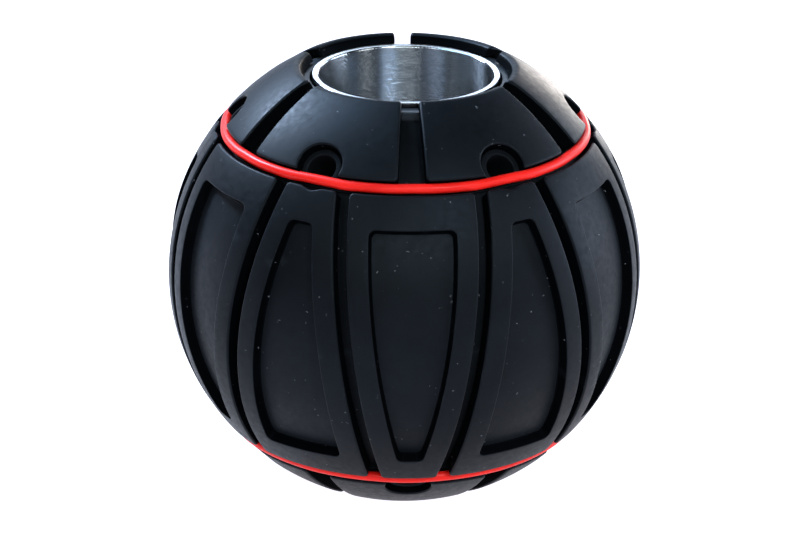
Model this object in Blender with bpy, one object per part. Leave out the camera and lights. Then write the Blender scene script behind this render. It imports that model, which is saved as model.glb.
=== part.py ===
"""Case opening friction ball: rubber grip pads on a two-part core, round a metal sleeve.

The origin is the ball's centre and Z runs along the bore. Lengths are metres.
"Polar" is the angle down from +Z; "azimuth" turns about Z from the front (-Y) towards +X.
"""
import math

import bmesh
import bpy
from mathutils import Vector

# Driving dimensions
BALL_RADIUS = 0.0325
FIT_GAP = 0.0003
SECTORS = 6
SECTOR = math.radians(360 / SECTORS)

SLEEVE_RADIUS = 0.388 * BALL_RADIUS
SLEEVE_WALL = 0.028 * BALL_RADIUS
SLEEVE_HALF_LENGTH = 0.857 * BALL_RADIUS
SLEEVE_CHAMFER = 0.006 * BALL_RADIUS

CORE_RADIUS = 0.930 * BALL_RADIUS
CORE_SEAT_HEIGHT = 0.770 * BALL_RADIUS
REGISTER_INNER = 0.60 * BALL_RADIUS
REGISTER_OUTER = 0.68 * BALL_RADIUS
REGISTER_HEIGHT = 0.06 * BALL_RADIUS

COLLAR_RADIUS = 0.452 * BALL_RADIUS
COLLAR_TOP = 0.840 * BALL_RADIUS
COLLAR_CHAMFER = 0.006 * BALL_RADIUS

RING_POLAR = math.radians(50.05)
RING_DISTANCE = 0.978 * BALL_RADIUS
RING_SECTION = 0.0200 * BALL_RADIUS
LAND_RADIUS = RING_DISTANCE - RING_SECTION - FIT_GAP
LAND_HALF_ANGLE = math.radians(1.15)

PAD_BACK = CORE_RADIUS + FIT_GAP
PAD_EDGE = 0.008 * BALL_RADIUS

CAP_INNER_RADIUS = 0.423 * BALL_RADIUS
CAP_INNER_ROUND = 0.030 * BALL_RADIUS
CAP_LOWER_POLAR = math.radians(48.6)
CAP_GROOVE_HALF_ANGLE = math.radians(4.3)

HOLE_POLAR = math.radians(46.75)
PAD_HOLE_RADIUS = 0.095 * BALL_RADIUS
NOTCH_RADIUS = 0.103 * BALL_RADIUS
SOCKET_RADIUS = 0.060 * BALL_RADIUS
SOCKET_DEPTH = 0.20 * BALL_RADIUS
BOSS_RADIUS = 0.084 * BALL_RADIUS
BOSS_DISTANCE = 0.968 * BALL_RADIUS
BOSS_ROOT = 0.90 * BALL_RADIUS
BOSS_FLAT = 0.030 * BALL_RADIUS
CUTTER_REACH = 1.1 * BALL_RADIUS

BAND_UPPER_POLAR = math.radians(51.95)
BAND_LOWER_POLAR = math.pi - BAND_UPPER_POLAR
BAND_GROOVE_WIDTH = 0.053 * BALL_RADIUS
BAND_WIDE_ANGLE = math.radians(20)
BAND_NARROW_ANGLE = math.radians(10)
BAND_CORNER = 0.020 * BALL_RADIUS
RECESS_END_MARGIN = 0.138 * BALL_RADIUS
RECESS_SIDE_MARGIN = 0.084 * BALL_RADIUS
RECESS_DEPTH = 0.042 * BALL_RADIUS
RECESS_DRAFT = 0.010 * BALL_RADIUS
RECESS_CORNER = 0.034 * BALL_RADIUS

# Facets
SHARP_ANGLE = math.radians(35)
LATHE_STEPS = 48
RING_STEPS = 40
RING_SECTION_STEPS = 8
HOLE_STEPS = 20
BOSS_STEPS = 16
CORE_ARC_STEPS = 5
CAP_ARC_STEPS = 4
CAP_STEPS = 8
BAND_COLUMNS = 4
BAND_SIDE_ROWS = 8
CORNER_STEPS = 2


def clear_scene():
    for old in list(bpy.data.objects):
        bpy.data.objects.remove(old, do_unlink=True)


def make_material(name, color, roughness, metallic=0.0):
    material = bpy.data.materials.new(name)
    material.use_nodes = True
    shader = material.node_tree.nodes["Principled BSDF"]
    shader.inputs["Base Color"].default_value = (*color, 1.0)
    shader.inputs["Roughness"].default_value = roughness
    shader.inputs["Metallic"].default_value = metallic
    return material


def spherical(distance, polar, azimuth):
    """Point at a distance from the ball's centre."""
    across = distance * math.sin(polar)
    return Vector((across * math.sin(azimuth), -across * math.cos(azimuth), distance * math.cos(polar)))


def cylindrical(point, azimuth):
    """Turn a (radius, height) profile point to an azimuth."""
    radius, height = point
    return Vector((radius * math.sin(azimuth), -radius * math.cos(azimuth), height))


def add_object(name, bm, material):
    """Finish a mesh with outward faces and smooth round surfaces."""
    bmesh.ops.recalc_face_normals(bm, faces=bm.faces[:])
    mesh = bpy.data.meshes.new(name)
    bm.to_mesh(mesh)
    bm.free()
    mesh.materials.append(material)
    mesh.shade_smooth()
    mesh.set_sharp_from_angle(angle=SHARP_ANGLE)
    item = bpy.data.objects.new(name, mesh)
    bpy.context.scene.collection.objects.link(item)
    return item


def lathe(name, profile, steps, material):
    """Turn a closed (radius, height) profile all the way round Z."""
    bm = bmesh.new()
    loops = []
    for step in range(steps):
        azimuth = 2 * math.pi * step / steps
        loops.append([bm.verts.new(cylindrical(point, azimuth)) for point in profile])
    for step, loop in enumerate(loops):
        following = loops[(step + 1) % steps]
        for i in range(len(profile)):
            j = (i + 1) % len(profile)
            bm.faces.new((loop[i], loop[j], following[j], following[i]))
    return add_object(name, bm, material)


def arc(center, radius, start, end, steps):
    """Points of a (radius, height) arc, with angles measured from the height axis."""
    points = []
    for step in range(steps + 1):
        angle = start + (end - start) * step / steps
        points.append((center[0] + radius * math.sin(angle), center[1] + radius * math.cos(angle)))
    return points


def flip_profile(profile):
    """The same profile below the ball's equator."""
    return [(radius, -height) for radius, height in reversed(profile)]


def hidden_prism(name, outline, start, end, polar, azimuth):
    """Guide solid: an outline carried along a radial line, between two distances from the centre."""
    axis = spherical(1.0, polar, azimuth)
    across = Vector((math.cos(azimuth), math.sin(azimuth), 0.0))
    upward = axis.cross(across)
    bm = bmesh.new()
    rings = []
    for distance in (start, end):
        rings.append([bm.verts.new(axis * distance + across * x + upward * y) for x, y in outline])
    for i in range(len(outline)):
        j = (i + 1) % len(outline)
        bm.faces.new((rings[0][i], rings[0][j], rings[1][j], rings[1][i]))
    bm.faces.new(rings[0])
    bm.faces.new(rings[1])
    bmesh.ops.recalc_face_normals(bm, faces=bm.faces[:])
    mesh = bpy.data.meshes.new(name)
    bm.to_mesh(mesh)
    bm.free()
    prism = bpy.data.objects.new(name, mesh)
    prism.hide_render = True
    prism.display_type = "WIRE"
    bpy.context.scene.collection.objects.link(prism)
    return prism


def circle(radius):
    return arc((0.0, 0.0), radius, 0.0, 2 * math.pi, HOLE_STEPS)[:-1]


def boss_outline(side):
    """Circle with a flat on the side that faces the O-ring."""
    away = math.pi - math.acos(BOSS_FLAT / BOSS_RADIUS)
    outline = arc((0.0, 0.0), BOSS_RADIUS, -away, away, BOSS_STEPS)
    if side == "bottom":
        outline = [(x, -y) for x, y in outline]
    return outline


def combine(item, other, operation):
    modifier = item.modifiers.new(other.name, "BOOLEAN")
    modifier.operation = operation
    modifier.solver = "EXACT"
    modifier.object = other


def make_sleeve(material):
    outer = SLEEVE_RADIUS
    inner = SLEEVE_RADIUS - SLEEVE_WALL
    top = SLEEVE_HALF_LENGTH
    cut = SLEEVE_CHAMFER
    upper = [(inner, top - cut), (inner + cut, top), (outer - cut, top), (outer, top - cut)]
    return lathe("sleeve", upper + flip_profile(upper), LATHE_STEPS, material)


def make_core(side, material):
    """One half of the core, with a land under the O-ring.

    A raised ring on the upper half's joint face registers in the lower half.
    """
    bore = SLEEVE_RADIUS + FIT_GAP
    seat = COLLAR_RADIUS + FIT_GAP
    split = FIT_GAP / 2
    shoulder = math.asin(seat / CORE_RADIUS)
    equator = math.acos(split / CORE_RADIUS)
    profile = [(bore, CORE_SEAT_HEIGHT), (seat, CORE_SEAT_HEIGHT)]
    land_start = RING_POLAR - LAND_HALF_ANGLE
    land_end = RING_POLAR + LAND_HALF_ANGLE
    profile += arc((0.0, 0.0), CORE_RADIUS, shoulder, land_start, CORE_ARC_STEPS)
    profile += arc((0.0, 0.0), LAND_RADIUS, land_start, land_end, 1)
    profile += arc((0.0, 0.0), CORE_RADIUS, land_end, equator, CORE_ARC_STEPS)
    if side == "top":
        tip = split - REGISTER_HEIGHT
        profile += [(REGISTER_OUTER, split), (REGISTER_OUTER, tip),
                    (REGISTER_INNER, tip), (REGISTER_INNER, split)]
    else:
        floor = split + REGISTER_HEIGHT
        profile += [(REGISTER_OUTER + FIT_GAP, split), (REGISTER_OUTER + FIT_GAP, floor),
                    (REGISTER_INNER - FIT_GAP, floor), (REGISTER_INNER - FIT_GAP, split)]
    profile.append((bore, split))
    if side == "bottom":
        profile = flip_profile(profile)
    return lathe("core_" + side, profile, LATHE_STEPS, material)


def make_collar(side, material):
    """Ring round the sleeve's end, seated in the core."""
    inner = SLEEVE_RADIUS + FIT_GAP
    bottom = CORE_SEAT_HEIGHT + FIT_GAP
    cut = COLLAR_CHAMFER
    profile = [(inner, bottom), (inner, COLLAR_TOP), (COLLAR_RADIUS - cut, COLLAR_TOP),
               (COLLAR_RADIUS, COLLAR_TOP - cut), (COLLAR_RADIUS, bottom)]
    if side == "bottom":
        profile = flip_profile(profile)
    return lathe("collar_ring_" + side, profile, RING_STEPS, material)


def make_o_ring(side, material):
    height = RING_DISTANCE * math.cos(RING_POLAR)
    if side == "bottom":
        height = -height
    center = (RING_DISTANCE * math.sin(RING_POLAR), height)
    section = arc(center, RING_SECTION, 0.0, 2 * math.pi, RING_SECTION_STEPS)[:-1]
    return lathe("o_ring_" + side, section, RING_STEPS, material)


def cap_pad_profile():
    """Section of a cap pad, from the undercut over the collar to the lower edge."""
    clear_height = COLLAR_TOP + FIT_GAP
    clear_radius = COLLAR_RADIUS + FIT_GAP
    back_start = math.asin(clear_radius / PAD_BACK)
    profile = [(CAP_INNER_RADIUS, clear_height)]
    round_x = CAP_INNER_RADIUS + CAP_INNER_ROUND
    round_distance = BALL_RADIUS - CAP_INNER_ROUND
    round_z = math.sqrt(round_distance ** 2 - round_x ** 2)
    outer_start = math.atan2(round_x, round_z)
    profile += arc((round_x, round_z), CAP_INNER_ROUND, -math.pi / 2, outer_start, CAP_ARC_STEPS)
    outer_end = CAP_LOWER_POLAR - PAD_EDGE / BALL_RADIUS
    profile += arc((0.0, 0.0), BALL_RADIUS, outer_start, outer_end, CAP_ARC_STEPS)[1:]
    shoulder = BALL_RADIUS - PAD_EDGE
    profile.append((shoulder * math.sin(CAP_LOWER_POLAR), shoulder * math.cos(CAP_LOWER_POLAR)))
    profile += arc((0.0, 0.0), PAD_BACK, CAP_LOWER_POLAR, back_start, CAP_ARC_STEPS)
    profile.append((clear_radius, clear_height))
    return profile


def make_cap_pad(name, side, azimuth, material):
    """Pad of one sector of a cap: the section swept between two radial grooves."""
    profile = cap_pad_profile()
    if side == "bottom":
        profile = flip_profile(profile)
    half = SECTOR / 2 - CAP_GROOVE_HALF_ANGLE
    bm = bmesh.new()
    loops = []
    for step in range(CAP_STEPS + 1):
        angle = azimuth - half + 2 * half * step / CAP_STEPS
        loops.append([bm.verts.new(cylindrical(point, angle)) for point in profile])
    for loop, following in zip(loops, loops[1:]):
        for i in range(len(profile)):
            j = (i + 1) % len(profile)
            bm.faces.new((loop[i], loop[j], following[j], following[i]))
    bm.faces.new(loops[0])
    bm.faces.new(list(reversed(loops[-1])))
    return add_object(name, bm, material)


def band_half_width(polar, inset):
    """Half width of a band pad along the ball, at a polar angle, set in from its outline."""
    fall = (polar - BAND_UPPER_POLAR) / (BAND_LOWER_POLAR - BAND_UPPER_POLAR)
    edge = BAND_WIDE_ANGLE + (BAND_NARROW_ANGLE - BAND_WIDE_ANGLE) * fall
    return edge * math.sin(polar) * BALL_RADIUS - BAND_GROOVE_WIDTH / 2 - inset


def band_rows(end_inset, side_inset, corner):
    """(polar, half width) down a band pad, with quarter-round corners."""
    upper = BAND_UPPER_POLAR + end_inset / BALL_RADIUS
    lower = BAND_LOWER_POLAR - end_inset / BALL_RADIUS
    corner_angle = corner / BALL_RADIUS
    rows = []
    for step in range(CORNER_STEPS + 1):
        sweep = math.pi / 2 * step / CORNER_STEPS
        polar = upper + corner_angle * (1 - math.cos(sweep))
        rows.append((polar, corner * (1 - math.sin(sweep))))
    start = upper + corner_angle
    span = lower - upper - 2 * corner_angle
    for row in range(1, BAND_SIDE_ROWS):
        rows.append((start + span * row / BAND_SIDE_ROWS, 0.0))
    for polar, cut in reversed(rows[:CORNER_STEPS + 1]):
        rows.append((upper + lower - polar, cut))
    return [(polar, band_half_width(polar, side_inset) - cut) for polar, cut in rows]


def band_grid(bm, rows, distance, azimuth, flipped):
    """Grid of points over a band pad, all at one distance from the centre."""
    grid = []
    for polar, half_width in rows:
        line = []
        for column in range(BAND_COLUMNS + 1):
            share = 2 * column / BAND_COLUMNS - 1
            angle = azimuth + share * half_width / (BALL_RADIUS * math.sin(polar))
            line.append(bm.verts.new(spherical(distance, math.pi - polar if flipped else polar, angle)))
        grid.append(line)
    return grid


def fill_grid(bm, grid):
    for upper, lower in zip(grid, grid[1:]):
        for i in range(len(upper) - 1):
            bm.faces.new((upper[i], upper[i + 1], lower[i + 1], lower[i]))


def rim_of(grid):
    """The closed loop round a grid."""
    right = [line[-1] for line in grid[1:-1]]
    left = [line[0] for line in reversed(grid[1:-1])]
    return grid[0] + right + list(reversed(grid[-1])) + left


def band_rim(bm, end_inset, side_inset, corner, distance, azimuth, flipped):
    """Only the loop of a grid; its inner points are removed."""
    grid = band_grid(bm, band_rows(end_inset, side_inset, corner), distance, azimuth, flipped)
    for line in grid[1:-1]:
        for vert in line[1:-1]:
            bm.verts.remove(vert)
    return rim_of(grid)


def make_band_pad(name, azimuth, flipped, material):
    """Tapered pad of the middle band, with a sunk panel; flipped puts its wide end down."""
    bm = bmesh.new()
    place = (azimuth, flipped)
    back = band_grid(bm, band_rows(0.0, 0.0, BAND_CORNER), PAD_BACK, *place)
    fill_grid(bm, back)
    end, side = RECESS_END_MARGIN, RECESS_SIDE_MARGIN
    shoulder = band_rim(bm, 0.0, 0.0, BAND_CORNER, BALL_RADIUS - PAD_EDGE, *place)
    crest = band_rim(bm, PAD_EDGE, PAD_EDGE, BAND_CORNER, BALL_RADIUS, *place)
    lip = band_rim(bm, end, side, RECESS_CORNER, BALL_RADIUS, *place)
    floor_rows = band_rows(end + RECESS_DRAFT, side + RECESS_DRAFT, RECESS_CORNER)
    floor = band_grid(bm, floor_rows, BALL_RADIUS - RECESS_DEPTH, *place)
    fill_grid(bm, floor)
    loops = [rim_of(back), shoulder, crest, lip, rim_of(floor)]
    for outer, inner in zip(loops, loops[1:]):
        for i in range(len(outer)):
            j = (i + 1) % len(outer)
            bm.faces.new((outer[i], outer[j], inner[j], inner[i]))
    return add_object(name, bm, material)


def drill_core(core, side, azimuth, number):
    """Raise a flat-topped boss in a cap pad's hole and sink a blind socket into it."""
    polar = HOLE_POLAR if side == "top" else math.pi - HOLE_POLAR
    boss = hidden_prism("guide_boss_" + number, boss_outline(side), BOSS_ROOT, BOSS_DISTANCE,
                        polar, azimuth)
    combine(core, boss, "UNION")
    socket = hidden_prism("cutter_socket_" + number, circle(SOCKET_RADIUS),
                          CORE_RADIUS - SOCKET_DEPTH, CUTTER_REACH, polar, azimuth)
    combine(core, socket, "DIFFERENCE")


def bore_pad(pad, radius, side, azimuth, number):
    """Cut a pad clear of a round hole in its cap."""
    polar = HOLE_POLAR if side == "top" else math.pi - HOLE_POLAR
    cutter = hidden_prism("cutter_" + number, circle(radius), BOSS_ROOT, CUTTER_REACH, polar, azimuth)
    combine(pad, cutter, "DIFFERENCE")


def build():
    clear_scene()
    metal = make_material("machined_metal", (0.62, 0.64, 0.66), 0.28, 1.0)
    plastic = make_material("core_plastic", (0.018, 0.019, 0.021), 0.55)
    rubber = make_material("pad_rubber", (0.022, 0.024, 0.028), 0.62)
    red = make_material("red_rubber", (0.62, 0.015, 0.012), 0.38)

    make_sleeve(metal)
    for side, first_azimuth in (("top", SECTOR / 2), ("bottom", 0.0)):
        core = make_core(side, plastic)
        make_collar(side, plastic)
        make_o_ring(side, red)
        for index in range(SECTORS):
            azimuth = first_azimuth + index * SECTOR
            number = side + "_" + str(index + 1)
            drill_core(core, side, azimuth, number)
            cap = make_cap_pad("cap_pad_" + number, side, azimuth, rubber)
            bore_pad(cap, PAD_HOLE_RADIUS, side, azimuth, "hole_" + number)
            narrow_up = side == "top"
            kind = "wide_bottom" if narrow_up else "wide_top"
            band = make_band_pad("band_pad_" + kind + "_" + str(index + 1), azimuth, narrow_up, rubber)
            if narrow_up:
                bore_pad(band, NOTCH_RADIUS, side, azimuth, "notch_" + number)


build()
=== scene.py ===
"""Looks of the case opening friction ball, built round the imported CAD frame.

Lengths are metres. "Polar" is the angle down from +Z and azimuth turns about Z from -Y towards +X.
A pad is drawn in a flat chart: x is the distance along its parallel from the pad's centre line, over
the ball's radius, and y is the polar angle.
"""

import math

import bmesh
import bpy
import numpy as np
from mathutils import Matrix, Vector
from mathutils.geometry import delaunay_2d_cdt


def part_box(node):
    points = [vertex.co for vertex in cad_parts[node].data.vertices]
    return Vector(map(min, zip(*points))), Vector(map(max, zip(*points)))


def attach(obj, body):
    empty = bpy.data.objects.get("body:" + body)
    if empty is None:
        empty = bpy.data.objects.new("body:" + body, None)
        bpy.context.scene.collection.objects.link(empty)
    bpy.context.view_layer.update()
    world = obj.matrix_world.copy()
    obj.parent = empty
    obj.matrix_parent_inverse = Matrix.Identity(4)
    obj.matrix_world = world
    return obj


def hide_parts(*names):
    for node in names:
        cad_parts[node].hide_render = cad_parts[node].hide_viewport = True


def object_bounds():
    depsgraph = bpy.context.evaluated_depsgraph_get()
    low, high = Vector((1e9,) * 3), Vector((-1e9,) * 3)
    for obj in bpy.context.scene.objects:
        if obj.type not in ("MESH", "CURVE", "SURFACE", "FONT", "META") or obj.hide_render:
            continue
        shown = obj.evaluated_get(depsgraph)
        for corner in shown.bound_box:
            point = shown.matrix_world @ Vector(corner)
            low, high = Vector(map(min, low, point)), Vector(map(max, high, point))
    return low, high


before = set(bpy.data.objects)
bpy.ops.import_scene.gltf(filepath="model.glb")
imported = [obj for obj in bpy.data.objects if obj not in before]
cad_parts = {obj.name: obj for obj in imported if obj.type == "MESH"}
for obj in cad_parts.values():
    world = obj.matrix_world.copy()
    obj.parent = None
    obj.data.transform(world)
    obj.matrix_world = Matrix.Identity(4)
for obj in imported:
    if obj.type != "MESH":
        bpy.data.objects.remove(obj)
CAD_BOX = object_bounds()

# Driving sizes: the gap between pieces in metres, and the core's share of the ball's radius
FIT_GAP = 0.0003
CORE = 0.930

# Corners of the CAD boxes and the ball's radius, in metres
SLEEVE_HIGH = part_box("sleeve")[1]
CORE_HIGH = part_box("core_top")[1]
COLLAR_LOW, COLLAR_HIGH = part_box("collar_ring_top")
RING_LOW, RING_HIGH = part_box("o_ring_top")
BALL = CORE_HIGH[0] / CORE

# The same sizes in shares of the ball's radius; RING_SECTION is the section's radius
GAP = FIT_GAP / BALL
SLEEVE_OUTER = SLEEVE_HIGH[0] / BALL
SLEEVE_END = SLEEVE_HIGH[2] / BALL
COLLAR_OUTER = COLLAR_HIGH[0] / BALL
COLLAR_TOP = COLLAR_HIGH[2] / BALL
COLLAR_BOTTOM = COLLAR_LOW[2] / BALL
RING_SECTION = (RING_HIGH[2] - RING_LOW[2]) / 2 / BALL
RING_HEIGHT = (RING_HIGH[2] + RING_LOW[2]) / 2 / BALL
RING_RADIUS = RING_HIGH[0] / BALL - RING_SECTION

# Shape: angles in radians, lengths in shares of the ball's radius, and plain ratios (_SHARE and _LOSS)
SECTORS = 6
SECTOR = 2 * math.pi / SECTORS
PAD_BACK = CORE + GAP
COLLAR_STEP = math.asin((COLLAR_OUTER + GAP) / PAD_BACK)
SLEEVE_WALL = 0.028
SLEEVE_INNER_ROUND = 0.009
SLEEVE_OUTER_ROUND = 0.004
COLLAR_ROUNDS = (0.002, 0.003, 0.005, 0.002)
CORE_SPLIT = 0.01 * GAP
CAP_INNER_RADIUS = 0.423
CAP_INNER_DISTANCE = 0.955
CAP_UPPER = math.asin(CAP_INNER_RADIUS / CAP_INNER_DISTANCE)
CAP_LOWER = math.radians(48.6)
CAP_HALF_ANGLE = SECTOR / 2 - math.radians(4.3)
CAP_EDGE_ROUND = 0.010
CAP_INNER_ROUND = 0.030
CAP_INNER_FADE = 0.05
CAP_CORNER = 0.014
CAP_CORNER_LOSS = 0.7
CAP_TIP_SHARE = 0.5
HOLE_POLAR = math.radians(46.75)
HOLE_RADIUS = 0.095
HOLE_EDGE_SHARE = 0.8
NOTCH_HALF_WIDTH = 0.056
NOTCH_DEPTH = 0.013
SOCKET_RADIUS = 0.060
SOCKET_FOOT_RADIUS = SOCKET_RADIUS * 0.94
SOCKET_FOOT_HEIGHT = 0.01
SOCKET_DEPTH = 0.20
SOCKET_SINK = 0.004
BOSS_RADIUS = 0.084
BOSS_ROOT = 0.90
BOSS_HEIGHT = 0.968
BOSS_FLAT = 0.030
BOSS_ROUND = 0.004
BOSS_ROUND_SHARE = 0.3
NO_FLAT = 1.0
RING_POLAR = math.atan2(RING_RADIUS, RING_HEIGHT)
LAND = math.hypot(RING_RADIUS, RING_HEIGHT) - RING_SECTION - GAP
LAND_HALF_ANGLE = math.radians(1.15)
RING_SPRING = 0.0050
GROOVE_SPRING = 0.4 * RING_SPRING
RING_SPRING_ANGLE = math.radians(7)
GROOVE_SPRING_ANGLE = math.radians(4)
BAND_UPPER = math.radians(51.95)
BAND_LOWER = math.pi - BAND_UPPER
BAND_GROOVE = 0.053
BAND_WIDE = math.radians(20)
BAND_NARROW = math.radians(10)
BAND_EDGE_ROUND = 0.009
BAND_CORNER = 0.022
RECESS_END = 0.138
RECESS_SIDE = 0.084
RECESS_DEPTH = 0.042
RECESS_CORNER = 0.034
RECESS_CORNER_LOSS = 0.8
RECESS_LIP = 0.005
RECESS_FOOT = 0.007
RECESS_DRAFT = math.radians(4)

# Facets: the crease angle, chart spacings, counts of steps, and which rows are walls, which get painted
# shade
SHARP_ANGLE = math.radians(40)
FINE = 0.014
CAP_FACE_SPACING = 1.5 * FINE
BAND_FACE_SPACING = 1.4 * FINE
RECESS_FLOOR_SPACING = 1.6 * FINE
BACK_SPACING = 0.03
LATTICE_CLEARANCE = 0.55  # in spacings
MERGE_DISTANCE = 1e-7
CAP_SIDE_STEPS = 26
CAP_CORNER_STEPS = 8
CAP_LOWER_STEPS = 24
CAP_TIP_STEPS = 6
CAP_HOLE_STEPS = 22
CAP_EDGE_ROWS = 8
CAP_WALL_ROWS = range(0, 3)
COLLAR_STEP_POINTS = 20
COLLAR_STEP_MARGIN = 0.03
COLLAR_STEP_HALF_WIDTH = 0.0004
BAND_CORNER_STEPS = 9
BAND_END_STEPS = 18
BAND_SIDE_STEPS = 84
BAND_FOOT_STEPS = 6
BAND_EDGE_ROWS = 7
BAND_WALL_ROWS = range(0, 2)
NOTCH_STEPS = 16
LIP_STEPS = 5
RECESS_WALL_ROWS = range(3, 10)
SLEEVE_STEPS = 256
SLEEVE_ROUND_STEPS = 5
COLLAR_STEPS = 192
COLLAR_ROUND_STEPS = 4
RING_STEPS = 256
RING_SECTION_STEPS = 24
CORE_STEPS = 240
CORE_ARC_STEPS = 40
LAND_STEPS = 4
PRISM_STEPS = 64

# Looks: colours, as (dark, light) where they vary, and the few settings that go with them
PAD_COLORS = ((0.0020, 0.0026, 0.0034), (0.0034, 0.0042, 0.0054))
# Pad walls: painted shade, darker than the pads' faces
PAD_WALL_SHADE_COLORS = ((0.0006, 0.0008, 0.0011), (0.0010, 0.0013, 0.0018))
CORE_COLORS = ((0.0020, 0.0024, 0.0030), (0.0030, 0.0036, 0.0044))
COLLAR_COLORS = ((0.0040, 0.0050, 0.0064), (0.0060, 0.0074, 0.0092))
RED_COLORS = ((0.60, 0.008, 0.005), (0.74, 0.014, 0.009))
METAL_COLORS = ((0.31, 0.33, 0.36), (0.50, 0.53, 0.56))
# Painted shade on the sleeve's outer wall, within this depth of its outer face
METAL_OUTSIDE_SHADE_COLOR = (0.02, 0.022, 0.025)
METAL_OUTSIDE_SHADE_DEPTH = 0.003
METAL_ANISO = 1.0
METAL_TURN = 0.25
FLOOR_COLORS = ((0.24, 0.24, 0.24), (0.27, 0.27, 0.27))
FLOOR_GLOW = (0.95, 0.91, 1.0, 1.0)
DUST_COLOR = (0.16, 0.17, 0.19)
DUST_WARP = (0.0009, 0.0009, 0.0009)
RUBBED_GAIN = 2.6
RUBBER_SPECULAR_TINT = (0.66, 0.80, 1.0, 1.0)
RUBBER_SHEEN_TINT = (0.62, 0.72, 0.90, 1.0)

# Stage, in metres, but the camera's distance in ball radii, its lens and sensor in millimetres and its
# shift in sensor widths
FLOOR_HALF_WIDTH = 3.0
WORLD_STRENGTH = 0.01
BLUE = (0.61, 0.77, 1.0)
DEEP_BLUE = (0.42, 0.70, 1.0)
COOL = (0.72, 0.83, 1.0)
SKY = (0.80, 0.94, 1.0)
MINT = (0.92, 1.0, 0.98)
PLAIN = (0.96, 1.0, 0.98)
WARM = (1.0, 0.92, 0.85)
LAMPS = (
    # name, position, size, power, colour; each one faces the ball's centre
    ("key_box", (-0.42, 0.42, 0.43), (0.16, 0.16), 13.5, BLUE),
    ("high_box", (-0.28, 0.26, 0.62), (0.26, 0.26), 3.6, DEEP_BLUE),
    ("back_strip", (0.0, 0.56, 0.25), (0.36, 0.14), 1.0, COOL),
    ("right_low_box", (0.60, 0.10, 0.10), (0.30, 0.30), 3.2, COOL),
    ("right_back_box", (0.45, 0.45, 0.20), (0.25, 0.25), 1.2, COOL),
    ("right_rim_box", (0.30, 0.68, 0.03), (0.20, 0.16), 2.6, WARM),
    ("left_front_box", (-0.55, -0.40, 0.35), (0.25, 0.30), 0.2, PLAIN),
    ("right_front_box", (0.55, -0.40, 0.35), (0.25, 0.30), 1.3, PLAIN),
    ("front_box", (0.0, -0.75, 0.45), (0.50, 0.25), 3.4, MINT),
    ("front_strip", (0.24, -0.50, 0.55), (0.016, 0.40), 2.8, SKY),
    ("left_high_strip", (-0.42, -0.46, 0.55), (0.10, 0.35), 0.8, PLAIN),
    ("left_thin_strip", (-0.60, -0.10, 0.50), (0.02, 0.35), 0.25, PLAIN),
)
CAMERA_DISTANCE = 11.0
CAMERA_ELEVATION = math.radians(22.53)
CAMERA_AZIMUTH = math.radians(-2.24)
CAMERA_ROLL = math.radians(0.67)
CAMERA_LENS = 116.46
CAMERA_SENSOR = 36.0
CAMERA_SHIFT = (-0.0048, -0.0023)
CAMERA_CLIP = 0.01

ROOT = "root"


def add_object(name, data):
    """A new object in the scene."""
    item = bpy.data.objects.new(name, data)
    bpy.context.scene.collection.objects.link(item)
    return item


def smooth(mesh):
    """Shade smooth, with creases left sharp."""
    mesh.shade_smooth()
    mesh.set_sharp_from_angle(angle=SHARP_ANGLE)


def on_ball(x, y, height, azimuth=0.0):
    """A chart point at a height from the centre, in shares of the ball's radius."""
    angle = azimuth + x / math.sin(y)
    across = height * math.sin(y)
    return (across * math.sin(angle) * BALL, -across * math.cos(angle) * BALL, height * math.cos(y) * BALL)


def line(start, end, steps):
    """Evenly spaced chart points, without the last one."""
    return [(start[0] + (end[0] - start[0]) * i / steps, start[1] + (end[1] - start[1]) * i / steps)
            for i in range(steps)]


def turn(center, radius, start, end, steps):
    """Chart points of an arc, without the last one; angles run from +x towards +y (down)."""
    points = []
    for i in range(steps):
        angle = start + (end - start) * i / steps
        points.append((center[0] + radius * math.cos(angle), center[1] + radius * math.sin(angle)))
    return points


def mirrored(half):
    """The whole outline, from its right half given from the top centre to the bottom centre."""
    return half + [(-x, y) for x, y in reversed(half[1:-1])]


def cap_outline(inner, side, lower, hole, corner):
    """Outline of a cap pad, each edge set in by its own amount."""
    top = CAP_UPPER + inner
    bottom = CAP_LOWER - lower
    radius = HOLE_RADIUS + hole

    def side_x(y):
        return CAP_HALF_ANGLE * math.sin(y) - side

    upper_y = top + corner
    upper_x = side_x(upper_y) - corner
    lower_y = bottom - corner
    lower_x = side_x(lower_y) - corner
    tip = CAP_TIP_SHARE * corner
    tip_y = bottom - tip
    tip_x = math.sqrt((radius + tip) ** 2 - (tip_y - HOLE_POLAR) ** 2)
    touch = math.atan2(tip_y - HOLE_POLAR, tip_x)
    half = []
    reach = upper_x / math.sin(upper_y)
    for i in range(CAP_SIDE_STEPS):
        half.append((reach * i / CAP_SIDE_STEPS * math.sin(top), top))
    for i in range(CAP_CORNER_STEPS):
        angle = -math.pi / 2 + math.pi / 2 * i / CAP_CORNER_STEPS
        y = upper_y + corner * math.sin(angle)
        half.append((reach * math.sin(y) + corner * math.cos(angle), y))
    for i in range(CAP_SIDE_STEPS):
        y = upper_y + (lower_y - upper_y) * i / CAP_SIDE_STEPS
        half.append((side_x(y), y))
    half += turn((lower_x, lower_y), corner, 0.0, math.pi / 2, CAP_CORNER_STEPS)
    half += line((lower_x, bottom), (tip_x, bottom), CAP_LOWER_STEPS)
    half += turn((tip_x, tip_y), tip, math.pi / 2, math.pi + touch, CAP_TIP_STEPS)
    half += turn((0.0, HOLE_POLAR), radius, touch, -math.pi / 2, CAP_HOLE_STEPS)
    half.append((0.0, HOLE_POLAR - radius))
    return mirrored(half)


def band_side(y):
    """Half width of a band pad at a polar angle."""
    fall = (y - BAND_UPPER) / (BAND_LOWER - BAND_UPPER)
    return (BAND_WIDE + (BAND_NARROW - BAND_WIDE) * fall) * math.sin(y) - BAND_GROOVE / 2


def band_lean(y):
    """Rate at which the half width grows with the polar angle."""
    step = 1e-4
    return (band_side(y + step) - band_side(y - step)) / (2 * step)


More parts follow.
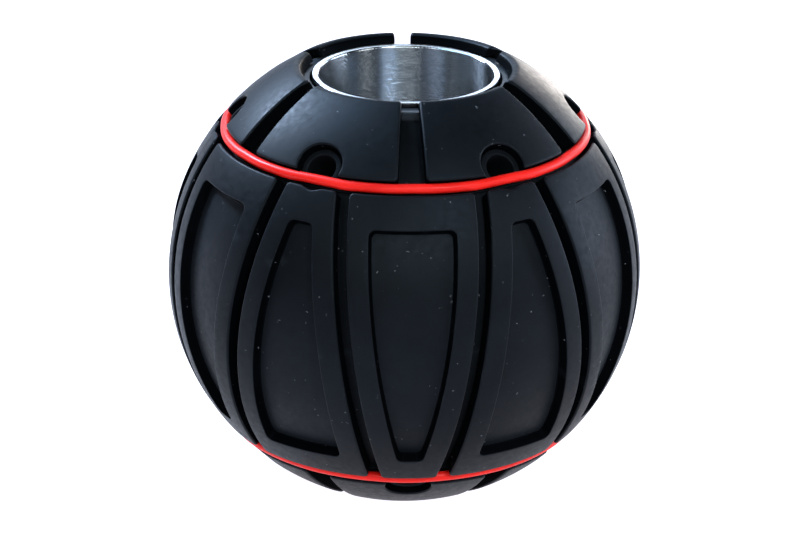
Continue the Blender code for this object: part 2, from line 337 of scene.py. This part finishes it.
def band_outline(end, side, corner, notch=0.0):
    """Outline of a band pad, wide end up, set in at its ends and sides, with its narrow end notched."""
    top, bottom = BAND_UPPER + end, BAND_LOWER - end

    def side_x(y, inset):
        return band_side(y) - inset * math.hypot(1.0, band_lean(y))

    def corner_arc(y, first, last):
        center = (side_x(y, side + corner), y)
        lean = -math.atan(band_lean(y))
        start = first if first is not None else lean
        finish = last if last is not None else lean
        return center, turn(center, corner, start, finish, BAND_CORNER_STEPS)

    upper_center, upper_arc = corner_arc(top + corner, -math.pi / 2, None)
    lower_center, lower_arc = corner_arc(bottom - corner, None, math.pi / 2)
    half = line((0.0, top), (upper_center[0], top), BAND_END_STEPS) + upper_arc
    lean_up = math.atan(band_lean(upper_center[1]))
    lean_down = math.atan(band_lean(lower_center[1]))
    start_y = upper_center[1] - corner * math.sin(lean_up)
    end_y = lower_center[1] - corner * math.sin(lean_down)
    for i in range(BAND_SIDE_STEPS):
        y = start_y + (end_y - start_y) * i / BAND_SIDE_STEPS
        half.append((side_x(y, side), y))
    half += lower_arc
    # Known fault: a sunk panel's corner ends inside NOTCH_HALF_WIDTH, so there this edge doubles back
    half += line((lower_center[0], bottom), (NOTCH_HALF_WIDTH, bottom), BAND_FOOT_STEPS)
    for i in range(NOTCH_STEPS + 1):
        x = NOTCH_HALF_WIDTH * (1 - i / NOTCH_STEPS)
        rise = 0.5 * notch * (1 + math.cos(math.pi * x / NOTCH_HALF_WIDTH))
        half.append((x, bottom - rise))
    return mirrored(half)


def lip_profile(depth, lip, foot, draft):
    """(set in, depth) points down a wall: a rounded lip, a drafted wall and a rounded foot."""
    slope = math.pi / 2 - draft
    points = []
    for i in range(LIP_STEPS + 1):
        angle = slope * i / LIP_STEPS
        points.append((lip * math.sin(angle), lip * (1 - math.cos(angle))))
    inset, drop = points[-1]
    foot_top = depth - foot * (1 - math.cos(slope))
    foot_inset = inset + (foot_top - drop) * math.tan(draft)
    for i in range(LIP_STEPS + 1):
        angle = slope * (1 - i / LIP_STEPS)
        points.append((foot_inset + foot * (math.sin(slope) - math.sin(angle)),
                       depth - foot * (1 - math.cos(angle))))
    return points


class Skin:
    """Mesh of one pad, gathered loop by loop in the chart and then laid on the ball."""

    def __init__(self, azimuth, under):
        self.azimuth = azimuth
        self.under = under
        self.points = []
        self.faces = []
        self.walls = []

    def add(self, x, y, height):
        if self.under:
            px, py, pz = on_ball(x, y, height, self.azimuth)
            self.points.append((px, py, -pz))
        else:
            self.points.append(on_ball(x, y, height, self.azimuth))
        return len(self.points) - 1

    def loop(self, outline, height):
        """Points of an outline, all at one height or at height(x, y)."""
        if callable(height):
            return [self.add(x, y, height(x, y)) for x, y in outline]
        return [self.add(x, y, height) for x, y in outline]

    def bridge(self, first, second, wall=False):
        """Join two loops; a wall's faces get the darker material that paints the walls' shade."""
        count = len(first)
        for i in range(count):
            j = (i + 1) % count
            if wall:
                self.walls.append(len(self.faces))
            self.faces.append((first[i], first[j], second[j], second[i]))

    def fill(self, loops, height, spacing, extra=()):
        """Fill between (indices, outline) loops; the first is the outer one, the rest are holes."""
        indices, flat, edges = [], [], []
        for loop_indices, outline in loops:
            base = len(flat)
            count = len(outline)
            indices += loop_indices
            flat += outline
            edges += [(base + i, base + (i + 1) % count) for i in range(count)]
        rims = [np.array(outline) for _, outline in loops]
        inner = list(extra) + lattice(rims, spacing)
        for x, y in inner:
            value = height(x, y) if callable(height) else height
            indices.append(self.add(x, y, value))
            flat.append((x, y))
        result = delaunay_2d_cdt([Vector(p) for p in flat], edges, [], 0, MERGE_DISTANCE)
        verts, faces, originals = result[0], result[2], result[3]
        centers = np.array([[sum(verts[v].x for v in f) / len(f), sum(verts[v].y for v in f) / len(f)]
                            for f in faces])
        keep = inside(centers, rims[0])
        for rim in rims[1:]:
            keep &= ~inside(centers, rim)
        for face, kept in zip(faces, keep):
            if kept:
                self.faces.append(tuple(indices[originals[v][0]] for v in face))

    def finish(self, name, material):
        mesh = bpy.data.meshes.new(name)
        mesh.from_pydata(self.points, [], self.faces)
        # Wall faces take the second material, which paints their shade
        for index in self.walls:
            mesh.polygons[index].material_index = 1
        bm = bmesh.new()
        bm.from_mesh(mesh)
        loose = [v for v in bm.verts if not v.link_faces]
        bmesh.ops.delete(bm, geom=loose, context="VERTS")
        bmesh.ops.recalc_face_normals(bm, faces=bm.faces[:])
        bm.to_mesh(mesh)
        bm.free()
        mesh.materials.append(material)
        mesh.materials.append(WALL_SHADE_RUBBER)
        smooth(mesh)
        return add_object(name, mesh)


def inside(points, rim):
    """Which points lie inside a closed outline."""
    result = np.zeros(len(points), dtype=bool)
    x, y = points[:, 0], points[:, 1]
    for (x0, y0), (x1, y1) in zip(rim, np.roll(rim, -1, axis=0)):
        if y0 == y1:
            continue
        crosses = (y0 > y) != (y1 > y)
        result ^= crosses & (x < (x1 - x0) * (y - y0) / (y1 - y0) + x0)
    return result


def lattice(rims, spacing):
    """Points of a triangular lattice inside the first outline, clear of all of them."""
    low, high = rims[0].min(axis=0), rims[0].max(axis=0)
    row_step = spacing * math.sqrt(3) / 2
    rows = int((high[1] - low[1]) / row_step) + 1
    points = []
    for row in range(rows):
        y = low[1] + row_step * (row + 0.5)
        shift = 0.5 * spacing * (row % 2)
        for column in range(int((high[0] - low[0]) / spacing) + 1):
            points.append((low[0] + shift + spacing * column, y))
    points = np.array(points)
    keep = inside(points, rims[0])
    for rim in rims[1:]:
        keep &= ~inside(points, rim)
    for rim in rims:
        ends = np.roll(rim, -1, axis=0)
        side = ends - rim
        length = (side ** 2).sum(axis=1)
        away = points[:, None, :] - rim[None, :, :]
        share = np.clip((away * side[None]).sum(axis=2) / length[None], 0, 1)
        distance = np.linalg.norm(away - share[..., None] * side[None], axis=2).min(axis=1)
        keep &= distance > LATTICE_CLEARANCE * spacing
    return [tuple(p) for p in points[keep]]


def place(item, slot, *nodes):
    """The piece rides on the ball and stands for its CAD nodes."""
    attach(item, ROOT)
    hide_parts(*nodes)


# ---------------------------------------------------------------- materials

def new_material(name):
    """A material with its nodes, its links and its shader."""
    material = bpy.data.materials.new(name)
    material.use_nodes = True
    nodes = material.node_tree.nodes
    shader = nodes["Principled BSDF"]
    return material, nodes, material.node_tree.links, shader


def texture_space(nodes):
    coordinate = nodes.new("ShaderNodeTexCoord")
    return coordinate.outputs["Object"]


def noise(nodes, links, space, scale, detail=4.0, roughness=0.55):
    texture = nodes.new("ShaderNodeTexNoise")
    texture.inputs["Scale"].default_value = scale
    texture.inputs["Detail"].default_value = detail
    texture.inputs["Roughness"].default_value = roughness
    links.new(space, texture.inputs["Vector"])
    return texture.outputs["Fac"]


def ramp(nodes, links, source, stops):
    node = nodes.new("ShaderNodeValToRGB")
    elements = node.color_ramp.elements
    while len(elements) < len(stops):
        elements.new(0.5)
    for element, (position, color) in zip(elements, stops):
        element.position = position
        element.color = (*color, 1.0)
    links.new(source, node.inputs["Fac"])
    return node.outputs["Color"]


def span(nodes, links, source, low, high, new_low, new_high):
    node = nodes.new("ShaderNodeMapRange")
    node.inputs["From Min"].default_value = low
    node.inputs["From Max"].default_value = high
    node.inputs["To Min"].default_value = new_low
    node.inputs["To Max"].default_value = new_high
    links.new(source, node.inputs["Value"])
    return node.outputs["Result"]


def mix(nodes, links, factor, first, second):
    node = nodes.new("ShaderNodeMix")
    node.data_type = "RGBA"
    for socket, value in ((node.inputs[0], factor), (node.inputs[6], first), (node.inputs[7], second)):
        if isinstance(value, tuple):
            socket.default_value = (*value, 1.0)
        elif isinstance(value, float):
            socket.default_value = value
        else:
            links.new(value, socket)
    return node.outputs[2]


def bump(nodes, links, height, distance, strength, normal=None):
    node = nodes.new("ShaderNodeBump")
    node.inputs["Distance"].default_value = distance
    node.inputs["Strength"].default_value = strength
    links.new(height, node.inputs["Height"])
    if normal is not None:
        links.new(normal, node.inputs["Normal"])
    return node.outputs["Normal"]


def rubber_material(name, colors, sheen, ior):
    """Moulded black rubber: fine grain, faint mottling, irregular dust and rubbed edges."""
    material, nodes, links, shader = new_material(name)
    space = texture_space(nodes)
    dark, light = colors
    mottle = noise(nodes, links, space, scale=160.0, detail=5.0, roughness=0.6)
    pebble = noise(nodes, links, space, scale=1100.0, detail=3.0, roughness=0.65)
    grain = noise(nodes, links, space, scale=3400.0, detail=2.0, roughness=0.7)
    body = ramp(nodes, links, mottle, [(0.30, dark), (0.72, light)])

    geometry = nodes.new("ShaderNodeNewGeometry")
    rubbed = span(nodes, links, geometry.outputs["Pointiness"], 0.52, 0.60, 0.0, 0.55)
    body = mix(nodes, links, rubbed, body, tuple(RUBBED_GAIN * c for c in light))

    warp = nodes.new("ShaderNodeTexNoise")
    warp.inputs["Scale"].default_value = 1500.0
    links.new(space, warp.inputs["Vector"])
    bend = nodes.new("ShaderNodeVectorMath")
    bend.operation = "MULTIPLY_ADD"
    bend.inputs[1].default_value = DUST_WARP
    links.new(warp.outputs["Color"], bend.inputs[0])
    links.new(space, bend.inputs[2])
    dust = nodes.new("ShaderNodeTexVoronoi")
    dust.inputs["Scale"].default_value = 900.0
    links.new(bend.outputs[0], dust.inputs["Vector"])
    speck = span(nodes, links, dust.outputs["Distance"], 0.04, 0.12, 1.0, 0.0)
    patch = span(nodes, links, noise(nodes, links, space, scale=500.0, detail=3.0), 0.50, 0.66, 0.0, 0.8)
    dusty = nodes.new("ShaderNodeMath")
    dusty.operation = "MULTIPLY"
    links.new(speck, dusty.inputs[0])
    links.new(patch, dusty.inputs[1])
    body = mix(nodes, links, dusty.outputs[0], body, DUST_COLOR)
    links.new(body, shader.inputs["Base Color"])

    links.new(span(nodes, links, pebble, 0.3, 0.7, 0.40, 0.55), shader.inputs["Roughness"])
    shader.inputs["IOR"].default_value = ior
    shader.inputs["Specular Tint"].default_value = RUBBER_SPECULAR_TINT
    shader.inputs["Sheen Weight"].default_value = sheen
    shader.inputs["Sheen Roughness"].default_value = 0.45
    shader.inputs["Sheen Tint"].default_value = RUBBER_SHEEN_TINT
    wave = bump(nodes, links, mottle, distance=0.00005, strength=0.35)
    rough = bump(nodes, links, pebble, distance=0.000015, strength=0.5, normal=wave)
    fine = bump(nodes, links, grain, distance=0.00001, strength=0.5, normal=rough)
    links.new(fine, shader.inputs["Normal"])
    return material


def red_material():
    """Satin red rubber with a little mould variation."""
    material, nodes, links, shader = new_material("red_rubber_look")
    space = texture_space(nodes)
    dark, light = RED_COLORS
    mottle = noise(nodes, links, space, scale=220.0, detail=4.0)
    links.new(ramp(nodes, links, mottle, [(0.3, dark), (0.75, light)]), shader.inputs["Base Color"])
    links.new(span(nodes, links, mottle, 0.3, 0.7, 0.34, 0.46), shader.inputs["Roughness"])
    shader.inputs["IOR"].default_value = 1.25
    shader.inputs["Subsurface Weight"].default_value = 0.12
    shader.inputs["Subsurface Radius"].default_value = (1.0, 0.25, 0.15)
    shader.inputs["Subsurface Scale"].default_value = 0.0006
    grain = noise(nodes, links, space, scale=1800.0, detail=3.0)
    links.new(bump(nodes, links, grain, distance=0.00002, strength=0.3), shader.inputs["Normal"])
    return material


def metal_material():
    """Turned metal: its fine rings spread light along the bore, with slanted tool chatter across them."""
    material, nodes, links, shader = new_material("machined_metal_look")
    space = texture_space(nodes)

    stretch = nodes.new("ShaderNodeMapping")
    stretch.inputs["Scale"].default_value = (1.0, 1.0, 4.0)
    links.new(space, stretch.inputs["Vector"])
    rings = noise(nodes, links, stretch.outputs["Vector"], scale=1500.0, detail=3.0, roughness=0.7)

    chatter = nodes.new("ShaderNodeTexWave")
    chatter.bands_direction = "X"
    chatter.inputs["Scale"].default_value = 900.0
    chatter.inputs["Distortion"].default_value = 4.0
    chatter.inputs["Detail"].default_value = 2.0
    chatter.inputs["Detail Scale"].default_value = 0.5
    slant = nodes.new("ShaderNodeMapping")
    slant.inputs["Rotation"].default_value = (0.0, math.radians(35), 0.0)
    links.new(space, slant.inputs["Vector"])
    links.new(slant.outputs["Vector"], chatter.inputs["Vector"])

    dark, light = METAL_COLORS
    tone = ramp(nodes, links, rings, [(0.35, dark), (0.65, light)])

    # Painted shade: the outer wall is darker than the bore, told apart by the distance from the axis
    flat = nodes.new("ShaderNodeVectorMath")
    flat.operation = "MULTIPLY"
    flat.inputs[1].default_value = (1.0, 1.0, 0.0)
    links.new(space, flat.inputs[0])
    radius = nodes.new("ShaderNodeVectorMath")
    radius.operation = "LENGTH"
    links.new(flat.outputs[0], radius.inputs[0])
    wall = (SLEEVE_OUTER - METAL_OUTSIDE_SHADE_DEPTH) * BALL
    outside_shade = span(nodes, links, radius.outputs["Value"], wall, SLEEVE_OUTER * BALL, 0.0, 1.0)
    tone = mix(nodes, links, outside_shade, tone, METAL_OUTSIDE_SHADE_COLOR)

    links.new(tone, shader.inputs["Base Color"])
    shader.inputs["Metallic"].default_value = 1.0
    shader.inputs["Anisotropic"].default_value = METAL_ANISO
    shader.inputs["Anisotropic Rotation"].default_value = METAL_TURN
    tangent = nodes.new("ShaderNodeTangent")
    tangent.direction_type = "RADIAL"
    tangent.axis = "Z"
    links.new(tangent.outputs["Tangent"], shader.inputs["Tangent"])
    links.new(span(nodes, links, rings, 0.3, 0.7, 0.16, 0.25), shader.inputs["Roughness"])
    turning = bump(nodes, links, rings, distance=0.000004, strength=0.7)
    marks = bump(nodes, links, chatter.outputs["Fac"], distance=0.000006, strength=1.0, normal=turning)
    links.new(marks, shader.inputs["Normal"])
    return material


def floor_material():
    material, nodes, links, shader = new_material("pale_floor")
    space = texture_space(nodes)
    dark, light = FLOOR_COLORS
    mottle = noise(nodes, links, space, scale=3.0, detail=3.0)
    links.new(ramp(nodes, links, mottle, [(0.3, dark), (0.7, light)]), shader.inputs["Base Color"])
    shader.inputs["Roughness"].default_value = 0.9
    shader.inputs["Emission Color"].default_value = FLOOR_GLOW
    shader.inputs["Emission Strength"].default_value = 1.10
    return material


PAD_RUBBER = rubber_material("pad_rubber_look", PAD_COLORS, sheen=0.02, ior=1.18)
# The walls' material is painted shade
WALL_SHADE_RUBBER = rubber_material("pad_wall_painted_shade", PAD_WALL_SHADE_COLORS, sheen=0.0, ior=1.05)
CORE_PLASTIC = rubber_material("core_plastic_look", CORE_COLORS, sheen=0.01, ior=1.16)
COLLAR_PLASTIC = rubber_material("collar_plastic_look", COLLAR_COLORS, sheen=0.01, ior=1.40)
RED_RUBBER = red_material()
METAL = metal_material()


# ---------------------------------------------------------------- pads

def cap_back(x, y):
    """Height of a cap pad's underside, which steps up over the collar ring."""
    over_collar = (COLLAR_TOP + GAP) / math.cos(y)
    return over_collar if y < COLLAR_STEP else PAD_BACK


def collar_step_points():
    """Two close rows of chart points that keep the underside's step crisp."""
    reach = (CAP_HALF_ANGLE - COLLAR_STEP_MARGIN) * math.sin(COLLAR_STEP)
    return [(reach * (i / COLLAR_STEP_POINTS - 1), COLLAR_STEP + shift)
            for shift in (-COLLAR_STEP_HALF_WIDTH, COLLAR_STEP_HALF_WIDTH)
            for i in range(2 * COLLAR_STEP_POINTS + 1)]


def make_cap_pad(name, azimuth, under):
    skin = Skin(azimuth, under)
    outline = cap_outline(0.0, 0.0, 0.0, 0.0, CAP_CORNER)
    back = skin.loop(outline, cap_back)
    skin.fill([(back, outline)], cap_back, BACK_SPACING, collar_step_points())
    previous = back
    for i in range(CAP_EDGE_ROWS + 1):
        angle = math.pi / 2 * i / CAP_EDGE_ROWS
        share = 1 - math.cos(angle)
        small = CAP_EDGE_ROUND * share
        ring = cap_outline(CAP_INNER_ROUND * share, small, small, small * HOLE_EDGE_SHARE,
                           CAP_CORNER - CAP_CORNER_LOSS * CAP_EDGE_ROUND * share)

        def height(x, y, angle=angle):
            into = max(0.0, min(1.0, (y - CAP_UPPER) / CAP_INNER_FADE))
            radius = CAP_INNER_ROUND + (CAP_EDGE_ROUND - CAP_INNER_ROUND) * into
            return 1.0 - radius * (1 - math.sin(angle))

        current = skin.loop(ring, height)
        skin.bridge(previous, current, i in CAP_WALL_ROWS)
        previous = current
    skin.fill([(previous, ring)], 1.0, CAP_FACE_SPACING)
    place(skin.finish(name + "_skin", PAD_RUBBER), "pad_rubber", name)


def make_band_pad(name, azimuth, under):
    """A middle pad with its wide end up, or down when it is under; only those have the notch."""
    skin = Skin(azimuth, under)
    notch = NOTCH_DEPTH if under else 0.0
    outline = band_outline(0.0, 0.0, BAND_CORNER, notch)
    back = skin.loop(outline, PAD_BACK)
    skin.fill([(back, outline)], PAD_BACK, BACK_SPACING)
    previous = back
    for i in range(BAND_EDGE_ROWS + 1):
        angle = math.pi / 2 * i / BAND_EDGE_ROWS
        inset = BAND_EDGE_ROUND * (1 - math.cos(angle))
        ring = band_outline(inset, inset, BAND_CORNER - inset, notch)
        current = skin.loop(ring, 1.0 - BAND_EDGE_ROUND * (1 - math.sin(angle)))
        skin.bridge(previous, current, i in BAND_WALL_ROWS)
        previous = current
    crest, crest_outline = previous, ring

    loops = []
    for inset, depth in lip_profile(RECESS_DEPTH, RECESS_LIP, RECESS_FOOT, RECESS_DRAFT):
        ring = band_outline(RECESS_END + inset, RECESS_SIDE + inset,
                            RECESS_CORNER - inset * RECESS_CORNER_LOSS)
        loops.append((skin.loop(ring, 1.0 - depth), ring))
    for i, ((first, _), (second, _)) in enumerate(zip(loops, loops[1:])):
        skin.bridge(first, second, i in RECESS_WALL_ROWS)
    skin.fill([(crest, crest_outline), loops[0]], 1.0, BAND_FACE_SPACING)
    skin.fill([loops[-1]], 1.0 - RECESS_DEPTH, RECESS_FLOOR_SPACING)
    place(skin.finish(name + "_skin", PAD_RUBBER), "pad_rubber", name)


# ---------------------------------------------------------------- turned pieces

def turned(name, profile, steps, material):
    """A closed (radius, height) profile, in shares of the ball's radius, turned round Z."""
    bm = bmesh.new()
    loops = []
    for step in range(steps):
        angle = 2 * math.pi * step / steps
        loops.append([bm.verts.new((r * BALL * math.sin(angle), -r * BALL * math.cos(angle), z * BALL))
                      for r, z in profile])
    for step, loop in enumerate(loops):
        following = loops[(step + 1) % steps]
        for i in range(len(profile)):
            j = (i + 1) % len(profile)
            bm.faces.new((loop[i], loop[j], following[j], following[i]))
    bmesh.ops.recalc_face_normals(bm, faces=bm.faces[:])
    mesh = bpy.data.meshes.new(name)
    bm.to_mesh(mesh)
    bm.free()
    mesh.materials.append(material)
    smooth(mesh)
    return add_object(name, mesh)


def rounded(points, radii, steps):
    """A closed profile with each corner replaced by a small curve."""
    result = []
    count = len(points)
    for i, (corner, radius) in enumerate(zip(points, radii)):
        here = Vector(corner)
        before, after = Vector(points[i - 1]), Vector(points[(i + 1) % count])
        start = here + (before - here).normalized() * radius
        end = here + (after - here).normalized() * radius
        if radius == 0.0:
            result.append(tuple(here))
            continue
        for step in range(steps + 1):
            share = step / steps
            curve = start * (1 - share) ** 2 + here * 2 * share * (1 - share) + end * share ** 2
            result.append(tuple(curve))
    return result


def flipped(profile):
    """The profile upside down."""
    return [(r, -z) for r, z in reversed(profile)]


def make_sleeve():
    inner = SLEEVE_OUTER - SLEEVE_WALL
    upper = [(inner, SLEEVE_END), (SLEEVE_OUTER, SLEEVE_END)]
    rounds = (SLEEVE_INNER_ROUND, SLEEVE_OUTER_ROUND, SLEEVE_OUTER_ROUND, SLEEVE_INNER_ROUND)
    profile = rounded(upper + flipped(upper), rounds, SLEEVE_ROUND_STEPS)
    place(turned("sleeve_tube", profile, SLEEVE_STEPS, METAL), "machined_metal", "sleeve")


def make_collar(side):
    inner = SLEEVE_OUTER + GAP
    points = [(inner, COLLAR_BOTTOM), (inner, COLLAR_TOP), (COLLAR_OUTER, COLLAR_TOP),
              (COLLAR_OUTER, COLLAR_BOTTOM)]
    profile = rounded(points, COLLAR_ROUNDS, COLLAR_ROUND_STEPS)
    if side == "bottom":
        profile = flipped(profile)
    name = "collar_ring_" + side
    place(turned(name + "_fine", profile, COLLAR_STEPS, COLLAR_PLASTIC), "core_plastic", name)


def ring_spring(azimuth):
    """How far the O-ring springs towards the cap where a hole or a groove leaves it free."""
    to_hole = abs((azimuth + SECTOR / 2) % SECTOR - SECTOR / 2)
    to_groove = SECTOR / 2 - to_hole
    return (RING_SPRING * math.exp(-(to_hole / RING_SPRING_ANGLE) ** 2)
            + GROOVE_SPRING * math.exp(-(to_groove / GROOVE_SPRING_ANGLE) ** 2))


def make_o_ring(side):
    profile = []
    for step in range(RING_SECTION_STEPS):
        angle = 2 * math.pi * step / RING_SECTION_STEPS
        profile.append((RING_RADIUS + RING_SECTION * math.sin(angle),
                        RING_HEIGHT + RING_SECTION * math.cos(angle)))
    if side == "bottom":
        profile = flipped(profile)
    name = "o_ring_" + side
    ring = turned(name + "_fine", profile, RING_STEPS, RED_RUBBER)
    turn_away = SECTOR / 2 if side == "top" else 0.0
    for vert in ring.data.vertices:
        azimuth = math.atan2(vert.co.x, -vert.co.y) + turn_away
        shift = ring_spring(azimuth) * BALL
        outward = Vector((vert.co.x, vert.co.y, 0.0)).normalized()
        vert.co -= outward * shift * math.cos(RING_POLAR)
        vert.co.z += shift * math.sin(RING_POLAR) * (1 if side == "top" else -1)
    place(ring, "red_rubber", name)


def ball_arc(radius, start, end, steps):
    """(radius, height) points on a sphere round the centre, between two polar angles."""
    points = []
    for i in range(steps + 1):
        polar = start + (end - start) * i / steps
        points.append((radius * math.sin(polar), radius * math.cos(polar)))
    return points


def make_core(side):
    bore = SLEEVE_OUTER + GAP
    seat = COLLAR_OUTER + GAP
    floor = COLLAR_BOTTOM - GAP
    shoulder = math.asin(seat / CORE)
    land_start, land_end = RING_POLAR - LAND_HALF_ANGLE, RING_POLAR + LAND_HALF_ANGLE
    profile = [(bore, floor), (seat, floor)]
    profile += ball_arc(CORE, shoulder, land_start, CORE_ARC_STEPS)
    profile += ball_arc(LAND, land_start, land_end, LAND_STEPS)
    profile += ball_arc(CORE, land_end, math.acos(CORE_SPLIT / CORE), CORE_ARC_STEPS)
    profile.append((bore, CORE_SPLIT))
    name = "core_" + side
    if side == "bottom":
        profile = flipped(profile)
    core = turned(name + "_fine", profile, CORE_STEPS, CORE_PLASTIC)
    first = SECTOR / 2 if side == "top" else 0.0
    azimuths = [first + SECTOR * i for i in range(SECTORS)]
    tools = [(prism(boss_rows(), azimuth, side), "UNION") for azimuth in azimuths]
    tools += [(prism(socket_rows(), azimuth, side), "DIFFERENCE") for azimuth in azimuths]
    for tool, operation in tools:
        modifier = core.modifiers.new(operation, "BOOLEAN")
        modifier.operation = operation
        modifier.solver = "EXACT"
        modifier.object = tool
    bpy.context.view_layer.update()
    cut = bpy.data.meshes.new_from_object(core.evaluated_get(bpy.context.evaluated_depsgraph_get()))
    core.modifiers.clear()
    core.data = cut
    smooth(cut)
    for tool, _ in tools:
        bpy.data.objects.remove(tool, do_unlink=True)
    place(core, "core_plastic", name)


def boss_rows():
    """(radius, height, flat) rows of a flat-sided boss with a softened rim."""
    half_way = BOSS_ROUND_SHARE * BOSS_ROUND
    return [(BOSS_RADIUS, BOSS_ROOT, BOSS_FLAT), (BOSS_RADIUS, BOSS_HEIGHT - BOSS_ROUND, BOSS_FLAT),
            (BOSS_RADIUS - half_way, BOSS_HEIGHT - half_way, BOSS_FLAT - half_way),
            (BOSS_RADIUS - BOSS_ROUND, BOSS_HEIGHT, BOSS_FLAT - BOSS_ROUND)]


def socket_rows():
    """(radius, height, flat) rows of a blind hole with a small countersink."""
    floor = CORE - SOCKET_DEPTH
    return [(SOCKET_FOOT_RADIUS, floor, NO_FLAT), (SOCKET_RADIUS, floor + SOCKET_FOOT_HEIGHT, NO_FLAT),
            (SOCKET_RADIUS, BOSS_HEIGHT - SOCKET_SINK, NO_FLAT),
            (SOCKET_RADIUS + 3 * SOCKET_SINK, BOSS_HEIGHT + 2 * SOCKET_SINK, NO_FLAT)]


def prism(rows, azimuth, side):
    """Closed solid along a hole's axis, round except for a flat on the side of the O-ring."""
    steps = PRISM_STEPS
    bm = bmesh.new()
    rings = []
    for radius, height, flat in rows:
        ring = []
        for i in range(steps):
            angle = 2 * math.pi * (i + 0.5) / steps
            x, y = radius * math.sin(angle), max(-flat, radius * math.cos(angle))
            ring.append(bm.verts.new((x * BALL, y * BALL, height * BALL)))
        rings.append(ring)
    for lower, upper in zip(rings, rings[1:]):
        for i in range(steps):
            j = (i + 1) % steps
            bm.faces.new((lower[i], lower[j], upper[j], upper[i]))
    bm.faces.new(rings[0])
    bm.faces.new(rings[-1])
    axis = Vector((math.sin(HOLE_POLAR) * math.sin(azimuth), -math.sin(HOLE_POLAR) * math.cos(azimuth),
                   math.cos(HOLE_POLAR)))
    across = Vector((math.cos(azimuth), math.sin(azimuth), 0.0))
    placing = Matrix((across, axis.cross(across), axis)).transposed().to_4x4()
    if side == "bottom":
        placing = Matrix.Diagonal((1.0, 1.0, -1.0, 1.0)) @ placing
    bmesh.ops.transform(bm, matrix=placing, verts=bm.verts[:])
    bmesh.ops.recalc_face_normals(bm, faces=bm.faces[:])
    mesh = bpy.data.meshes.new("tool")
    bm.to_mesh(mesh)
    bm.free()
    return add_object("tool", mesh)


def make_ball():
    make_sleeve()
    for side in ("top", "bottom"):
        make_core(side)
        make_collar(side)
        make_o_ring(side)
        under = side == "bottom"
        kind = "wide_top" if under else "wide_bottom"
        first = 0.0 if under else SECTOR / 2
        for index in range(SECTORS):
            azimuth = first + index * SECTOR
            number = str(index + 1)
            make_cap_pad("cap_pad_" + side + "_" + number, azimuth, under)
            make_band_pad("band_pad_" + kind + "_" + number, azimuth, not under)


# ---------------------------------------------------------------- stage

def add_floor():
    size = FLOOR_HALF_WIDTH
    level = CAD_BOX[0][2]
    mesh = bpy.data.meshes.new("floor")
    corners = [(-size, -size, level), (size, -size, level), (size, size, level), (-size, size, level)]
    mesh.from_pydata(corners, [], [(0, 1, 2, 3)])
    mesh.materials.append(floor_material())
    floor = add_object("floor", mesh)


def add_area(name, position, size, power, color):
    """A rectangular lamp that faces the ball's centre."""
    light = bpy.data.lights.new(name, "AREA")
    light.shape = "RECTANGLE"
    light.size, light.size_y = size
    light.energy = power
    light.color = color
    item = add_object(name, light)
    item.location = position
    center = Vector((0.0, 0.0, 0.0))
    item.rotation_euler = (center - Vector(position)).to_track_quat("-Z", "Y").to_euler()


def add_world():
    world = bpy.data.worlds.new("studio")
    world.use_nodes = True
    background = world.node_tree.nodes["Background"]
    background.inputs["Color"].default_value = (1.0, 1.0, 1.0, 1.0)
    background.inputs["Strength"].default_value = WORLD_STRENGTH
    bpy.context.scene.world = world


def add_camera():
    back = Vector((math.cos(CAMERA_ELEVATION) * math.sin(CAMERA_AZIMUTH),
                   -math.cos(CAMERA_ELEVATION) * math.cos(CAMERA_AZIMUTH), math.sin(CAMERA_ELEVATION)))
    right = Vector((math.cos(CAMERA_AZIMUTH), math.sin(CAMERA_AZIMUTH), 0.0))
    up = back.cross(right)
    turned_right = right * math.cos(CAMERA_ROLL) + up * math.sin(CAMERA_ROLL)
    turned_up = up * math.cos(CAMERA_ROLL) - right * math.sin(CAMERA_ROLL)
    data = bpy.data.cameras.new("camera")
    data.lens = CAMERA_LENS
    data.sensor_width = CAMERA_SENSOR
    data.shift_x, data.shift_y = CAMERA_SHIFT
    data.clip_start = CAMERA_CLIP
    item = add_object("camera", data)
    facing = Matrix((turned_right, turned_up, back)).transposed().to_4x4()
    item.matrix_world = Matrix.Translation(back * CAMERA_DISTANCE * BALL) @ facing
    bpy.context.scene.camera = item


make_ball()
add_floor()
add_world()
for lamp in LAMPS:
    add_area(*lamp)
add_camera()
bpy.context.scene.view_settings.view_transform = "Standard"
